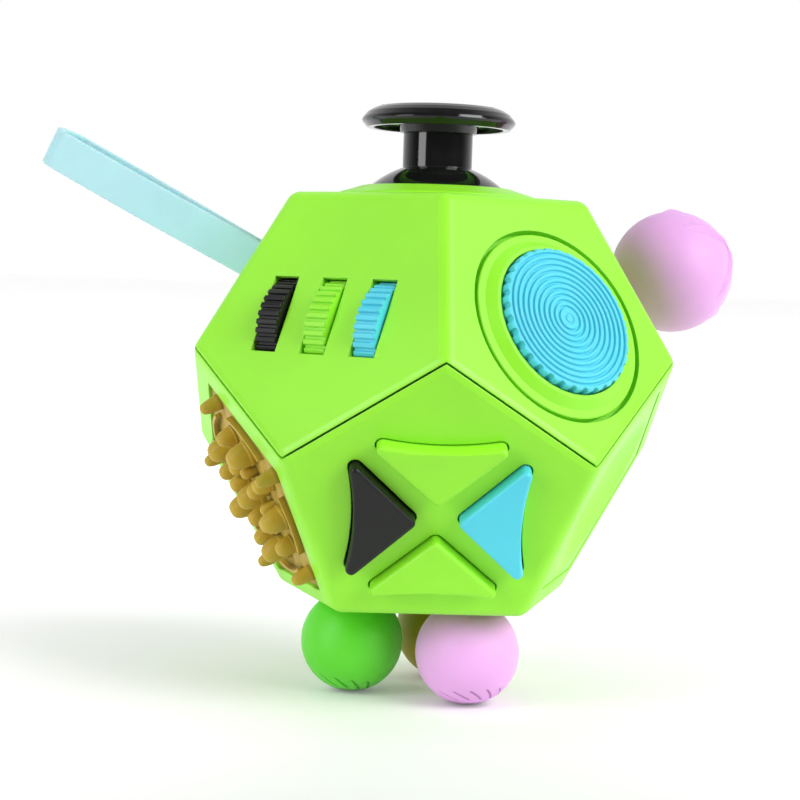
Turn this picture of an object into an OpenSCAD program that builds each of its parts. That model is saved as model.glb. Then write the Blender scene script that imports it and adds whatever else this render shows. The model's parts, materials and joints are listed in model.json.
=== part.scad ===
// Twelve-sided fidget toy: a hollow dodecahedron in two shells, with a small hand
// toy on every face. Millimetres, +Z up. The toy stands on its three spinner balls
// with the desk at z = 0, and the joystick and the spinner share the Z axis.

/* [Body] */
// Distance between two opposite flat faces
face_gap = 50; // [50:0.5:51]
// Thickness of the shell walls
wall = 2.2; // [2.2:0.05:2.3]
// Radius of the rounded outer edges
edge_round = 2; // [1.8:0.1:2.1]
// Gap of the seam between the two shells
seam_gap = 0.28; // [0.2:0.01:0.3]

/* [Joystick] */
// Radius of the ball-shaped dome that slides under the bezel
dome_r = 12.5; // [12.4:0.05:12.5]
// Depth of the tilt centre under the top face
pivot_depth = 8.1; // [8.1:0.05:8.2]
// Radius of the round stem
stem_r = 4.33; // [4.2:0.05:4.4]
// Radius of the thumb cap
cap_r = 9.6; // [9.4:0.1:9.6]
// Height of the cap's widest rim above the top face
cap_rim_z = 9.3; // [9.2:0.1:9.4]

/* [Rollers] */
// Radius of a toothed roller
roller_r = 6.5; // [6.4:0.05:6.5]
// Width of a toothed roller
roller_w = 2.9; // [2.8:0.05:2.9]
// Number of teeth on a roller
roller_teeth = 38; // [36:1:40]
// Distance between neighbouring rollers
roller_pitch = 7; // [6.9:0.05:7]

/* [Dial] */
// Radius of the knurled dial
dial_r = 9.05; // [8.9:0.05:9.1]
// Height of the dial's top above its face
dial_h = 1.95; // [1.9:0.05:2.1]
// Number of notches round the dial
dial_notches = 34; // [30:1:36]

/* [Arrow keys] */
// Height of the keys above their face
key_h = 1.8; // [1.6:0.05:1.8]
// How far a key travels
key_travel = 0.9; // [0.8:0.05:0.9]

/* [Balls] */
// Radius of the spinner's balls
ball_r = 6.4; // [6.3:0.05:6.45]
// Distance from the spinner's axis to the middle of a ball
ball_orbit = 8.9; // [8.8:0.05:9]
// Radius of the punch ball
punch_r = 7.9; // [7.8:0.05:7.9]
// Height of the punch ball's middle above its face
punch_h = 12.5; // [12.5:0.05:12.7]

/* [Strap] */
// Length of the strap outside the shell
strap_l = 36; // [34:0.5:37]
// Width of the strap
strap_w = 5; // [4.8:0.1:5]
// Thickness of the strap
strap_t = 1; // [0.9:0.05:1]

/* [Hidden] */
$fn = 64;

eps = 0.01;
far = 100;

// A regular dodecahedron in terms of its inner radius.
r_in = face_gap / 2;
tilt = acos(1 / sqrt(5));
golden = (1 + sqrt(5)) / 2;
face_in_r = r_in / golden;
face_out_r = face_in_r / cos(36);
mid_ring_r = face_out_r * golden;
mid_ring_z = (sqrt(5) - 2) * r_in;

// The middle of the body stands this far over the desk.
ball_h = 5.9;
stand_h = r_in + ball_h + ball_r;

// Colours.
lime = [0.62, 0.93, 0.15];
coal = [0.05, 0.05, 0.055];
aqua = [0.35, 0.85, 0.92];
amber = [0.88, 0.70, 0.15];
pink = [0.91, 0.66, 0.92];
leaf = [0.38, 0.88, 0.20];
mint = [0.62, 0.86, 0.86];
steel = [0.75, 0.76, 0.78];

// ---------------------------------------------------------------- places

// Each of these puts its children on a face: local +Z points out of the face,
// local +Y towards the joystick, and z = 0 is the face's flat outer surface.
module on_top() {
    translate([0, 0, stand_h + r_in]) children();
}

module on_upper(k) {
    translate([0, 0, stand_h]) rotate([0, 0, 72 * k - 36]) rotate([tilt, 0, 0])
        translate([0, 0, r_in]) children();
}

module on_lower(k) {
    translate([0, 0, stand_h]) rotate([0, 0, 72 * k]) rotate([180 - tilt, 0, 0])
        translate([0, 0, r_in]) children();
}

module on_base() {
    translate([0, 0, stand_h]) rotate([180, 0, 0]) translate([0, 0, r_in]) children();
}

// ---------------------------------------------------------------- shared shapes

// A cylinder from z = a to z = b.
module rod(r, a, b) {
    translate([0, 0, a]) cylinder(r = r, h = b - a);
}

// A round ring from z = a to z = b.
module ring(r_out, r_hole, a, b) {
    difference() {
        rod(r_out, a, b);
        rod(r_hole, a - 1, b + 1);
    }
}

// A box centred in x and y, from z = a to z = b.
module block(x, y, a, b) {
    translate([-x / 2, -y / 2, a]) cube([x, y, b - a]);
}

// A rounded rectangle from z = a to z = b.
module soft_block(x, y, r, a, b) {
    translate([0, 0, a]) linear_extrude(b - a) rounded_rect(x, y, r);
}

module rounded_rect(x, y, r) {
    square([x - 2 * r, y], center = true);
    square([x, y - 2 * r], center = true);
    for (i = [-1, 1], j = [-1, 1])
        translate([i * (x / 2 - r), j * (y / 2 - r)]) circle(r);
}

// A pentagon with a corner at +Y, from z = a to z = b.
module pentagon(r, a, b) {
    translate([0, 0, a]) linear_extrude(b - a)
        polygon([for (i = [0:4]) r * [sin(72 * i), cos(72 * i)]]);
}

// A screw that points to -Z: head from z = 0 up, shank down.
module screw(head_r, head_h, shank_r, length) {
    difference() {
        union() {
            rod(head_r, 0, head_h);
            rod(shank_r, -length, eps);
        }
        for (a = [0, 90])
            rotate([0, 0, a]) block(head_r * 1.1, head_r * 0.26, head_h * 0.45, head_h + 1);
    }
}

// A coil spring along Z from z = a to z = b.
module coil_spring(r, wire_r, turns, a, b) {
    sides = 6;
    steps = turns * 14;
    points = [for (i = [0:steps], j = [0:sides - 1])
        let (turn = 360 * turns * i / steps, side = 360 * j / sides,
             out = r + wire_r * cos(side))
        [out * cos(turn), out * sin(turn),
         a + wire_r + (b - a - 2 * wire_r) * i / steps + wire_r * sin(side)]];
    tube = [for (i = [0:steps - 1], j = [0:sides - 1], half = [0, 1])
        let (p = i * sides + j, q = i * sides + (j + 1) % sides)
        half == 0 ? [p, p + sides, q + sides] : [p, q + sides, q]];
    ends = [[for (j = [0:sides - 1]) j],
            [for (j = [sides - 1:-1:0]) steps * sides + j]];
    polyhedron(points, concat(tube, ends));
}

// A bracket that holds an axle along X under a wall. The axle lies at z = axle_z.
module axle_cradle(x_low, x_high, half_y, axle_y, axle_z, axle_r, back_z, tab_y) {
    foot_z = -wall - 0.05;
    difference() {
        union() {
            for (x = [x_low - ear_t, x_high])
                translate([x, axle_y - half_y, back_z - ear_t])
                    cube([ear_t, 2 * half_y, foot_z - back_z + ear_t]);
            translate([x_low - ear_t, axle_y - half_y, back_z - ear_t])
                cube([x_high - x_low + 2 * ear_t, 2 * half_y, ear_t]);
            for (x = [x_low - ear_t - tab_l, x_high + ear_t - eps])
                translate([x, tab_y - 1.8, foot_z - 1.2]) cube([tab_l + eps, 3.6, 1.2]);
        }
        translate([x_low - 5, axle_y, axle_z]) rotate([0, 90, 0])
            cylinder(r = axle_r, h = x_high - x_low + 10);
        for (x = cradle_screw_x(x_low, x_high))
            translate([x, tab_y, 0]) rod(0.75, foot_z - 3, 0);
    }
}

ear_t = 1;
tab_l = 3.2;
function cradle_screw_x(x_low, x_high) = [x_low - ear_t - 1.7, x_high + ear_t + 1.7];

// The two screws of an axle cradle, pointing up into the wall.
module cradle_screws(x_low, x_high, tab_y) {
    for (x = cradle_screw_x(x_low, x_high))
        translate([x, tab_y, -wall - 1.25]) mirror([0, 0, 1]) screw(1.4, 0.9, 0.75, 2.4);
}

// Blind holes in the wall for those screws.
module cradle_screw_holes(x_low, x_high, tab_y) {
    for (x = cradle_screw_x(x_low, x_high))
        translate([x, tab_y, 0]) rod(0.75, -wall - 1, -wall + 1.2);
}

// Slots for wheels that turn about X: straight outside, round inside the wall.
module wheel_slots(xs, width, height, axle_y, axle_z, wheel_r) {
    for (x = xs) {
        translate([x, axle_y, 0]) block(width, height, -wall - 1, 1);
        translate([x - width / 2, axle_y, axle_z]) rotate([0, 90, 0])
            cylinder(r = wheel_r + 0.3, h = width);
    }
}

// ---------------------------------------------------------------- the body

function corner_list(s) = concat(
    [for (k = [0:4]) s * [face_out_r * cos(72 * k - 90), face_out_r * sin(72 * k - 90), r_in]],
    [for (k = [0:4]) s * [mid_ring_r * cos(72 * k - 90), mid_ring_r * sin(72 * k - 90), mid_ring_z]],
    [for (k = [0:4]) s * [mid_ring_r * cos(72 * k - 54), mid_ring_r * sin(72 * k - 54), -mid_ring_z]],
    [for (k = [0:4]) s * [face_out_r * cos(72 * k - 54), face_out_r * sin(72 * k - 54), -r_in]]);

// The outer form: a dodecahedron with rounded edges, round the origin.
module rounded_dodecahedron() {
    hull()
        for (p = corner_list((r_in - edge_round) / r_in))
            translate(p) sphere(r = edge_round, $fn = 24);
}

// A plain dodecahedron of inner radius r: six slabs that cross.
module dodecahedron(r) {
    intersection() {
        cube([far, far, 2 * r], center = true);
        intersection_for (k = [0:4])
            rotate([0, 0, 72 * k - 36]) rotate([tilt, 0, 0]) cube([far, far, 2 * r], center = true);
    }
}

// Everything above the zigzag seam: the seam runs along ten edges of the body, and
// its surface goes from those edges to the middle.
module above_seam() {
    reach = 1.4;
    rim = [for (i = [0:9]) reach * [
        mid_ring_r * cos(36 * i - 90), mid_ring_r * sin(36 * i - 90),
        i % 2 == 0 ? mid_ring_z : -mid_ring_z]];
    points = concat([[0, 0, 0], [0, 0, far]], rim, [for (p = rim) [p[0], p[1], far]]);
    faces = concat(
        [for (i = [0:9]) [0, 2 + i, 2 + (i + 1) % 10]],
        [for (i = [0:9]) [2 + i, 12 + i, 12 + (i + 1) % 10, 2 + (i + 1) % 10]],
        [for (i = [0:9]) [1, 12 + (i + 1) % 10, 12 + i]]);
    polyhedron(points, faces);
}

// The three screws that close the body stand at these angles round Z.
screw_az = [18, 90, 162];
screw_orbit = 10.2;
screw_meet_z = -7;
module at_body_screws() {
    for (a = screw_az) rotate([0, 0, a]) translate([screw_orbit, 0, 0]) children();
}

// Posts that hold the joystick base hang from the top wall at these angles.
post_az = [-85, 54, 126];
post_orbit = 14.7;
post_r = 1.8;
base_top_z = -11.6;
module at_joystick_posts() {
    for (a = post_az) rotate([0, 0, a]) translate([post_orbit, 0, 0]) children();
}

module upper_shell() {
    color(lime) difference() {
        union() {
            translate([0, 0, stand_h]) difference() {
                intersection() {
                    rounded_dodecahedron();
                    translate([0, 0, seam_gap / 2]) above_seam();
                }
                dodecahedron(r_in - wall);
            }
            on_top() at_joystick_posts() rod(post_r, base_top_z, -wall + 0.5);
            translate([0, 0, stand_h]) at_body_screws() {
                rod(2.6, screw_meet_z, -1.2);
                translate([0, -1, -4.2]) cube([18, 2, 3]);
            }
        }
        on_top() {
            rod(bezel_body_r + 0.1, -wall - 1, 1);
            at_joystick_posts() rod(0.8, base_top_z - 1, base_top_z + 5);
        }
        translate([0, 0, stand_h]) at_body_screws() rod(1, screw_meet_z - 1, -2.4);
        on_upper(0) {
            wheel_slots([for (i = [-1:1]) roller_x + i * roller_pitch],
                roller_w + 0.6, 9.86, roller_y, roller_z, roller_r);
            cradle_screw_holes(roller_low, roller_high, roller_tab_y);
        }
        on_upper(1) translate([dial_x, dial_y, 0]) {
            rod(dial_seat_r + 0.5, -dial_ledge, 1);
            rod(dial_body_r + 0.05, -wall - 1, 1);
        }
        on_upper(2) rod(collar_body_r + 0.05, -wall - 1, 1);
        on_upper(3) {
            wheel_slots([for (i = [-1:1]) i * number_pitch],
                number_w + 0.4, 8.4, 0, number_z, number_r);
            cradle_screw_holes(number_low, number_high, 0);
        }
        on_upper(4) translate([0, strap_y, 0]) {
            soft_block(5.6, strap_w + 0.8, 1, -wall - 1, 1);
            rotate([0, 0, 90]) cradle_screw_holes(anchor_low, anchor_high, 0);
        }
    }
}

module lower_shell() {
    color(lime) difference() {
        union() {
            translate([0, 0, stand_h]) difference() {
                rounded_dodecahedron();
                translate([0, 0, -seam_gap / 2]) above_seam();
                dodecahedron(r_in - wall);
            }
            on_lower(1) pentagon(insert_r + 1.4, -panel_t - 0.9, -1);
            on_lower(4) translate([0, insert_y, 0]) pentagon(insert_r + 1, -pad_floor_z, -1);
            on_base() {
                rod(14.2, -spinner_floor_z, -1);
                rod(3.4, -9, -1);
            }
            translate([0, 0, stand_h]) at_body_screws()
                rod(2.7, -r_in + 2.3, screw_meet_z - 0.1);
            on_lower(0) translate([key_x, key_y, 0])
                for (p = key_screw_places) translate(p) rod(1.15, -5.6, -1);
        }
        on_lower(0) translate([key_x, key_y, 0]) {
            for (a = [0:90:270]) rotate([0, 0, a])
                translate([0, 0, -wall - 1]) linear_extrude(5) polygon(key_outline(0.2));
            for (p = key_screw_places) translate(p) rod(0.6, -6, -1.2);
        }
        on_lower(1) pentagon(insert_r, -panel_t, 1);
        on_lower(2) soft_block(slider_slot, 4.4, 2.1, -wall - 1, 1);
        on_lower(3) soft_block(12.5, 7.6, 1, -wall - 1, 1);
        on_lower(4) {
            translate([0, insert_y, 0]) pentagon(insert_r, -pad_t - 0.2, 1);
            at_pad_pegs() rod(1.5, -pad_floor_z - 1, 1);
        }
        on_base() {
            rod(spinner_seat_r, -spinner_recess, 1);
            rod(1.15, -8.4, 1);
        }
        translate([0, 0, stand_h]) at_body_screws() {
            rod(1.25, -r_in, screw_meet_z + 1);
            rod(2, -r_in - 1, -r_in + 3.4);
        }
    }
}

module shell_screws() {
    color(steel) translate([0, 0, stand_h]) at_body_screws() {
        translate([0, 0, -r_in + 3.4]) mirror([0, 0, 1])
            screw(1.9, 0.9, 1.2, r_in - 3.4 + screw_meet_z - 0.05);
        rod(1, screw_meet_z - 0.06, -3);
    }
}

// ---------------------------------------------------------------- joystick, top face

bezel_body_r = 11.8;
bezel_h = 1.3;
bezel_hole_r = 8.6;
bezel_foot = 1.6;
dome_gap = 0.25;
dome_t = 1.2;
dome_skirt = 62;
gimbal_r = 6.6;
gimbal_hole_r = 4.3;
pin_r = 0.8;
hub_r = 2.6;
foot_z = -12;
peg_r = 2.5;
peg_top = 9.7;
ear_in = 8;
ear_out = 9.6;

// The round collar round the dome, hollowed to follow the dome.
module joystick_bezel() {
    color(lime) on_top() difference() {
        rotate_extrude() polygon([
            [8, -bezel_foot], [bezel_body_r, -bezel_foot], [bezel_body_r, 0],
            [12.4, 0], [12.25, 0.25], [11.9, 0.43], [10.6, 0.8],
            [9.4, bezel_h - 0.1], [8.8, bezel_h], [8, bezel_h]]);
        translate([0, 0, -pivot_depth]) sphere(r = dome_r + dome_gap);
        rod(bezel_hole_r, -3, 3);
    }
}

// Cup, ring, arms and the two ears that carry the gimbal's trunnions.
module joystick_base() {
    ring_top = base_top_z;
    ring_low = ring_top - 1.6;
    cup_r = 5.3;
    color([0.2, 0.2, 0.21]) on_top() difference() {
        union() {
            rod(10.4, ring_low, ring_top);
            rod(cup_r + 1.2, ring_low - 4.5, ring_top);
            for (s = [-1, 1])
                translate([s * (ear_in + ear_out) / 2, 0, 0])
                    block(ear_out - ear_in, 4, ring_low, -pivot_depth + 2.2);
            at_joystick_posts() rod(2.2, ring_low, ring_top);
            for (a = post_az) rotate([0, 0, a])
                translate([9, -1.6, ring_low]) cube([post_orbit - 9, 3.2, 1.6]);
        }
        rod(cup_r, ring_low - 3.3, ring_top + 1);
        translate([-far / 2, 0, -pivot_depth]) rotate([0, 90, 0]) cylinder(r = pin_r + 0.05, h = far);
        at_joystick_posts() rod(0.85, ring_low - 1, ring_top + 1);
    }
}

module joystick_base_screws() {
    color(steel) on_top() at_joystick_posts()
        translate([0, 0, base_top_z - 1.6]) mirror([0, 0, 1]) screw(1.6, 0.9, 0.8, 5.6);
}

module joystick_gimbal_ring() {
    color([0.85, 0.85, 0.83]) on_top() translate([0, 0, -pivot_depth]) difference() {
        ring(gimbal_r, gimbal_hole_r, -1.5, 1.5);
        translate([-far / 2, 0, 0]) rotate([0, 90, 0]) cylinder(r = pin_r, h = far);
        translate([0, far / 2, 0]) rotate([90, 0, 0]) cylinder(r = pin_r + 0.05, h = far);
    }
}

module joystick_trunnions() {
    color(steel) on_top() translate([0, 0, -pivot_depth])
        for (s = [0, 180]) rotate([0, 0, s]) translate([4.8, 0, 0]) rotate([0, 90, 0])
            cylinder(r = pin_r, h = ear_out - 4.9);
}

module joystick_cross_pin() {
    color(steel) on_top() translate([0, 6.4, -pivot_depth]) rotate([90, 0, 0])
        cylinder(r = pin_r, h = 12.8);
}

// Dome, stem and the hub that reaches down to the gimbal, in one moulding.
module joystick_stick() {
    color(coal) on_top() difference() {
        union() {
            translate([0, 0, -pivot_depth]) intersection() {
                difference() {
                    sphere(r = dome_r);
                    sphere(r = dome_r - dome_t);
                }
                rod(dome_r, dome_r * cos(dome_skirt), far / 4);
            }
            rod(stem_r, dome_r - pivot_depth - 1.2, cap_rim_z - 1.4);
            rod(peg_r, 5, peg_top);
            rod(hub_r, foot_z + 0.8, 4);
            rod(3.6, foot_z, foot_z + 0.8);
        }
        translate([0, far / 2, -pivot_depth]) rotate([90, 0, 0]) cylinder(r = pin_r, h = far);
    }
}

// The mushroom cap: a rounded shoulder, a dished top with three small dimples, a lip
// under the rim and a hollow inside the lip.
module joystick_cap() {
    z = cap_rim_z;
    color(coal) on_top() difference() {
        rotate_extrude() polygon([
            [0, z - 1.4], [stem_r + 0.35, z - 1.4], [5.2, z + 0.6],
            [8.1, z + 0.6], [8.1, z - 0.8], [8.9, z - 0.8], [cap_r - 0.15, z - 0.2],
            [cap_r, z + 0.1], [cap_r - 0.15, z + 0.45], [8.9, z + 1.1], [8.3, z + 1.5],
            [7.6, z + 1.8], [6.5, z + 1.95], [4, z + 1.5], [0, z + 1.2]]);
        rod(peg_r, 0, peg_top);
        for (a = [-157, -37, 83])
            rotate([0, 0, a]) translate([7.4, 0, 0]) rod(0.45, z + 1.4, z + 3);
    }
}

module joystick_inlay() {
    color(lime) on_top() ring(8.1, 6.3, cap_rim_z, cap_rim_z + 0.6);
}

module joystick_spring() {
    color(steel) on_top() coil_spring(3, 0.35, 4, base_top_z - 4.9, foot_z - 0.02);
}

// ---------------------------------------------------------------- rollers, upper face 0

roller_x = -0.33;
roller_y = -1;
roller_z = -(roller_r - 1.3);
roller_tab_y = -3.4;
roller_axle_r = 1.5;
roller_low = roller_x - roller_pitch - roller_w / 2 - 0.5;
roller_high = roller_x + roller_pitch + roller_w / 2 + 0.5;

// One toothed wheel along X: square-shouldered teeth with narrow gaps.
module toothed_roller() {
    step = 360 / roller_teeth;
    root = roller_r - 0.36;
    profile = [for (i = [0:roller_teeth - 1], p = [
            [roller_r - 0.1, -0.3], [roller_r, -0.2], [roller_r, 0.2],
            [roller_r - 0.1, 0.3], [root, 0.34], [root, 0.66]])
        p[0] * [cos(step * (i + p[1])), sin(step * (i + p[1]))]];
    rotate([90, 0, 90]) translate([0, 0, -roller_w / 2]) linear_extrude(roller_w) difference() {
        polygon(profile);
        circle(roller_axle_r + 0.05);
    }
}

module roller(i) {
    on_upper(0) translate([roller_x + i * roller_pitch, roller_y, roller_z]) toothed_roller();
}

module roller_axle() {
    color(steel) on_upper(0) translate([roller_low - 1, roller_y, roller_z]) rotate([0, 90, 0])
        cylinder(r = roller_axle_r, h = roller_high - roller_low + 2);
}

module roller_cradle() {
    color([0.9, 0.9, 0.88]) on_upper(0)
        axle_cradle(roller_low, roller_high, 3, roller_y, roller_z, roller_axle_r,
            roller_z - roller_r - 0.4, roller_tab_y);
}

module roller_cradle_screws() {
    color(steel) on_upper(0) cradle_screws(roller_low, roller_high, roller_tab_y);
}

// ---------------------------------------------------------------- dial, upper face 1

dial_x = 0.33;
dial_y = -1.27;
dial_ledge = 1.4;
dial_seat_r = 11.73;
dial_body_r = 10.5;
dial_pot = 1.2;
dial_rim_h = 1.05;
dial_foot = 3.6;
dial_stem_end = -dial_foot - 0.75;

module on_dial() {
    on_upper(1) translate([dial_x, dial_y, 0]) children();
}

// A raised ring with a sloping outside, and the pot that the dial turns in.
module dial_bezel() {
    color(lime) on_dial() rotate_extrude() polygon([
        [2.05, -dial_foot], [dial_body_r, -dial_foot], [dial_body_r, -dial_ledge],
        [dial_seat_r, -dial_ledge], [dial_seat_r, -0.15], [dial_seat_r - 0.15, 0],
        [10.72, 0], [9.72, dial_rim_h], [dial_r + 0.2, dial_rim_h],
        [dial_r + 0.2, -dial_pot], [2.05, -dial_pot]]);
}

// The dial: a top with round grooves, a notched rim and a stem through the pot.
module dial_disc() {
    groove_pitch = 0.755;
    groove_depth = 0.28;
    grooves = [for (i = [9:-1:0], p = [[0.27, 0], [0.12, -1], [-0.12, -1], [-0.27, 0]])
        [1.5 + groove_pitch * (i + p[0]), dial_h + groove_depth * p[1]]];
    color(aqua) on_dial() {
        intersection() {
            rotate_extrude() polygon(concat(
                [[0, 0.1 - dial_pot], [dial_r, 0.1 - dial_pot], [dial_r, dial_h - 0.2],
                 [dial_r - 0.2, dial_h]],
                grooves,
                [[0.75, dial_h], [0.65, dial_h - 0.15], [0.5, dial_h - 0.15], [0.4, dial_h],
                 [0, dial_h]]));
            translate([0, 0, -2]) linear_extrude(6) difference() {
                circle(dial_r + 0.01);
                for (i = [0:dial_notches - 1]) rotate(360 * i / dial_notches)
                    translate([dial_r + 0.1, 0]) circle(0.45, $fn = 12);
            }
        }
        difference() {
            rod(2, dial_stem_end, -dial_pot + 0.2);
            rod(0.8, -far / 4, -dial_pot);
        }
    }
}

module dial_washer() {
    color(steel) on_dial() ring(3.6, 2.05, dial_stem_end + 0.05, -dial_foot - 0.05);
}

module dial_screw() {
    color(steel) on_dial() translate([0, 0, dial_stem_end]) mirror([0, 0, 1])
        screw(2.6, 1, 0.8, 2.8);
}

// ---------------------------------------------------------------- arrow keys, lower face 0

key_x = 0.1;
key_y = -1.4;
key_near = 2.28;
key_far = 10.93;
key_half = 9.03;
key_sag = 1.23;
key_corner = 0.7;
key_bevel = 0.43;
key_facet = 0.13;
key_plate = 21.5;
key_screw_places = [for (i = [-1, 1], j = [-1, 1]) 9.3 * [i, j, 0]];

// Outline of a key that points to the cross's middle: a triangle with three round
// corners and a hollow outer side. The whole outline lies grow outside the key's own.
function key_outline(grow) =
    let (slope = atan2(key_half, key_far - key_near),
         bow = (key_half * key_half + key_sag * key_sag) / (2 * key_sag),
         bow_y = key_far - key_sag + bow,
         tip = [0, key_near + key_corner / sin(slope)],
         // A corner's middle is key_corner inside both the straight and the hollow side.
         reach = bow + key_corner,
         drop = (bow_y - tip[1]) * cos(slope),
         along = drop - sqrt(drop * drop - (bow_y - tip[1]) * (bow_y - tip[1]) + reach * reach),
         side = [along * sin(slope), tip[1] + along * cos(slope)],
         turn = atan2(side[0], bow_y - side[1]),
         r = key_corner + grow)
    concat(
        [for (i = [0:6]) tip + r * [cos(slope - 180 + (180 - 2 * slope) * i / 6),
                                    sin(slope - 180 + (180 - 2 * slope) * i / 6)]],
        [for (i = [0:8]) side + r * [cos(-slope + (90 + turn + slope) * i / 8),
                                     sin(-slope + (90 + turn + slope) * i / 8)]],
        [for (i = [1:11]) let (a = turn * (1 - i / 6))
            [(bow - grow) * sin(a), bow_y - (bow - grow) * cos(a)]],
        [for (i = [8:-1:0]) [-side[0], side[1]] + r * [-cos(-slope + (90 + turn + slope) * i / 8),
                                                       sin(-slope + (90 + turn + slope) * i / 8)]]);

// A solid through stacked outlines with the same number of points: [[outline, z], ...].
module loft(levels) {
    n = len(levels[0][0]);
    last = len(levels) - 1;
    polyhedron(
        [for (level = levels, p = level[0]) [p[0], p[1], level[1]]],
        concat(
            [[for (i = [0:n - 1]) i]],
            [[for (i = [n - 1:-1:0]) last * n + i]],
            [for (k = [0:last - 1], i = [0:n - 1])
                let (j = (i + 1) % n)
                [k * n + i, (k + 1) * n + i, (k + 1) * n + j, k * n + j]]));
}

// A key pointing to local +Y: a flange behind the wall, a straight shaft, and a cap
// with a rounded edge in two facets.
module key_shape() {
    flange = key_outline(0.7);
    shaft = key_outline(0);
    loft([
        [flange, -wall - 1.05],
        [flange, -wall - 0.1],
        [shaft, -wall - 0.1],
        [shaft, key_h - key_bevel],
        [key_outline(-key_facet), key_h - key_facet],
        [key_outline(-key_bevel), key_h]]);
}

module key_at(angle) {
    on_lower(0) translate([key_x, key_y, 0]) rotate([0, 0, angle]) key_shape();
}

key_dome_at = 7.8;

// One silicone sheet with a dome under each key.
module key_membrane() {
    color([0.8, 0.8, 0.78]) on_lower(0) translate([key_x, key_y, 0]) difference() {
        union() {
            soft_block(key_plate, key_plate, 2.5, -5.6, -5);
            for (a = [0:90:270]) rotate([0, 0, a]) translate([0, key_dome_at, 0]) {
                rod(2.2, -5.2, -4.4);
                rod(1.3, -4.6, -wall - 1.1);
            }
        }
        for (a = [0:90:270]) rotate([0, 0, a]) translate([0, key_dome_at, 0]) rod(1.6, -6, -4.8);
        for (p = key_screw_places) translate(p) rod(1.2, -6, -4);
    }
}

module key_backplate() {
    color([0.9, 0.9, 0.88]) on_lower(0) translate([key_x, key_y, 0]) difference() {
        soft_block(key_plate, key_plate, 2.5, -6.8, -5.6);
        for (p = key_screw_places) translate(p) rod(0.7, -8, -4);
    }
}

module key_screws() {
    color(steel) on_lower(0) translate([key_x, key_y, 0])
        for (p = key_screw_places) translate(p) translate([0, 0, -6.8]) mirror([0, 0, 1])
            screw(1.3, 0.8, 0.6, 4.4);
}

// ---------------------------------------------------------------- pentagon inserts

insert_r = 15;
insert_y = -0.8;
pad_t = 2;
pad_floor_z = 3.4;
panel_t = 2.8;
peg_orbit = 8;

module at_pad_pegs() {
    for (a = [30, 150, 270]) rotate([0, 0, a]) translate([peg_orbit, 0, 0]) children();
}

// One bullet-shaped stud: a wider collar and a blunt nose. It stands on z = 0.
module stud(r, h) {
    nose_r = r * 0.9;
    rotate_extrude($fn = 24) polygon(concat(
        [[0, 0], [r, 0], [r, h * 0.36], [nose_r, h * 0.4], [nose_r, h - nose_r]],
        [for (a = [22.5:22.5:67.5]) [nose_r * cos(a), h - nose_r * (1 - sin(a))]],
        [[0, h]]));
}

// Where the studs stand: [distance, angle, radius, height].
stud_list = concat(
    [[0, 0, 1.6, 4.2]],
    [for (i = [0:4]) [4.1, 72 * i + 90, 1.2, 3.6]],
    [for (i = [0:4]) [7.4, 72 * i + 54, 1.6, 4.2]],
    [for (i = [0:4]) [7.9, 72 * i + 90, 1.2, 3.4]],
    [for (i = [0:4]) [4.3, 72 * i + 54, 0.95, 3]],
    [for (i = [0:4]) [12.7, 72 * i + 90, 1.2, 3.2]]);

// Soft pad: pentagon base with a sunk floor, a round ridge and the studs.
module massage_pad() {
    floor_z = -1.3;
    color(amber) on_lower(4) translate([0, insert_y, 0]) {
        difference() {
            pentagon(insert_r - 0.1, -pad_t - 0.2, -0.2);
            pentagon(insert_r - 2.2, floor_z, 1);
        }
        ring(11.3, 10.5, floor_z - 0.2, 0.9);
        for (s = stud_list)
            rotate([0, 0, s[1]]) translate([s[0], 0, floor_z - 0.2]) stud(s[2], s[3] + 1.2);
    }
    color(amber) on_lower(4) at_pad_pegs() {
        rod(1.5, -pad_floor_z - 1, -pad_t);
        rod(2, -pad_floor_z - 1.8, -pad_floor_z - 1);
    }
}

module massage_pad_retainer() {
    color([0.9, 0.9, 0.88]) on_lower(4) difference() {
        ring(10.6, 5.4, -pad_floor_z - 1, -pad_floor_z);
        at_pad_pegs() rod(1.5, -far / 4, 0);
    }
}

// Smooth panel with a round hollow for the thumb.
module worry_panel() {
    dish_r = 11.2;
    dish_depth = 1.8;
    bow = (dish_r * dish_r + dish_depth * dish_depth) / (2 * dish_depth);
    color(lime) on_lower(1) difference() {
        pentagon(insert_r - 0.12, -panel_t, -0.1);
        translate([0, 0, bow - dish_depth]) sphere(r = bow, $fn = 180);
    }
}

// ---------------------------------------------------------------- punch ball, upper face 2

collar_body_r = 5.4;
bulb_r = 4.2;
bulb_z = -1.6;
neck_r = 2.4;
head_r = 3;
head_low = 9;
head_top = 10.8;

module punch_ball() {
    color(pink) on_upper(2) difference() {
        translate([0, 0, punch_h]) sphere(r = punch_r);
        rod(neck_r + 0.05, 0, head_low);
        rod(head_r + 0.05, head_low - 0.05, head_top + 0.05);
    }
}

module punch_ball_neck() {
    color([0.85, 0.6, 0.86]) on_upper(2) {
        translate([0, 0, bulb_z]) sphere(r = bulb_r);
        rod(neck_r, bulb_z, head_low + 0.1);
        rod(head_r, head_low, head_top);
    }
}

module punch_ball_collar() {
    color(lime) on_upper(2) difference() {
        union() {
            rod(collar_body_r, bulb_z, eps);
            rod(7, 0, 0.6);
        }
        translate([0, 0, bulb_z]) sphere(r = bulb_r + 0.05);
        rod(3.4, -1, 2);
    }
}

module punch_ball_retainer() {
    color([0.9, 0.9, 0.88]) on_upper(2) difference() {
        union() {
            rod(collar_body_r, -4.6, bulb_z - 0.02);
            rod(7, -wall - 1.2, -wall - 0.02);
        }
        translate([0, 0, bulb_z]) sphere(r = bulb_r + 0.05);
        rod(2.4, -6, 0);
    }
}

// ---------------------------------------------------------------- number wheels, upper face 3

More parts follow.
